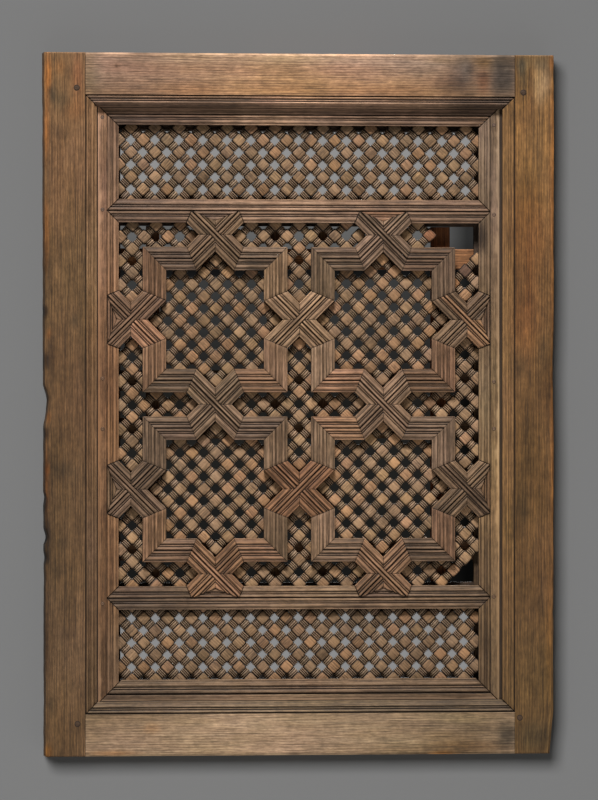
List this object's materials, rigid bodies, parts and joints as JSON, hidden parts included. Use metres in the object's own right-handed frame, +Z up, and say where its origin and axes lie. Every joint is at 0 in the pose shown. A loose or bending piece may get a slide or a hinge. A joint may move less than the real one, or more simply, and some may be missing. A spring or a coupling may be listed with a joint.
{
  "type": "mashrabiya screen",
  "caption": "Weathered wooden mashrabiya screen: a moulded frame around turned lattice panels, the middle one overlaid with reeded straps that draw linked pointed stars.",
  "frame": {"origin": "on the flat back of the top rail, half way up its plain face and on the middle line of the opening, where the screen is fixed to what carries it", "axes": "+Z up, +X to the right as seen from the front, -Y out of the carved front, so the back lies in the plane y = 0 and +Y points into what carries the screen"},
  "size_m": [0.7335, 0.0384, 1.001],
  "materials": {
    "outer_frame_wood": "old softwood, dry and brown, worn at the edges",
    "inner_frame_wood": "old softwood with dark grooves",
    "lattice_wood": "turned wood, tan faces and sooty hollows",
    "batten_wood": "rough, dark",
    "strap_wood": "old softwood, dry, with dark grooves",
    "peg_wood": "dark end grain"
  },
  "bodies": {
    "root": {"bottom_rail": "outer_frame_wood", "crossing_strap_01": "strap_wood", "crossing_strap_02": "strap_wood", "crossing_strap_03": "strap_wood", "crossing_strap_04": "strap_wood", "crossing_strap_05": "strap_wood", "crossing_strap_06": "strap_wood", "crossing_strap_07": "strap_wood", "crossing_strap_08": "strap_wood", "crossing_strap_09": "strap_wood", "crossing_strap_10": "strap_wood", "crossing_strap_11": "strap_wood", "crossing_strap_12": "strap_wood", "inner_bottom_rail": "inner_frame_wood", "inner_left_stile": "inner_frame_wood", "inner_right_stile": "inner_frame_wood", "inner_top_rail": "inner_frame_wood", "left_stile": "outer_frame_wood", "level_batten_1": "batten_wood", "level_batten_2": "batten_wood", "level_batten_3": "batten_wood", "level_batten_4": "batten_wood", "lower_cross_rail": "inner_frame_wood", "lower_lattice": "lattice_wood", "lower_left_peg": "peg_wood", "lower_right_peg": "peg_wood", "middle_lattice": "lattice_wood", "right_stile": "outer_frame_wood", "star_corner_01": "strap_wood", "star_corner_02": "strap_wood", "star_corner_03": "strap_wood", "star_corner_04": "strap_wood", "star_corner_05": "strap_wood", "star_corner_06": "strap_wood", "star_corner_07": "strap_wood", "star_corner_08": "strap_wood", "star_corner_09": "strap_wood", "star_corner_10": "strap_wood", "star_corner_11": "strap_wood", "star_corner_12": "strap_wood", "star_corner_13": "strap_wood", "star_corner_14": "strap_wood", "star_corner_15": "strap_wood", "star_corner_16": "strap_wood", "top_rail": "outer_frame_wood", "upper_cross_rail": "inner_frame_wood", "upper_lattice": "lattice_wood", "upper_left_peg": "peg_wood", "upper_right_peg": "peg_wood", "upright_batten_1": "batten_wood", "upright_batten_2": "batten_wood", "upright_batten_3": "batten_wood", "upright_batten_4": "batten_wood"}
  },
  "joints": []
}
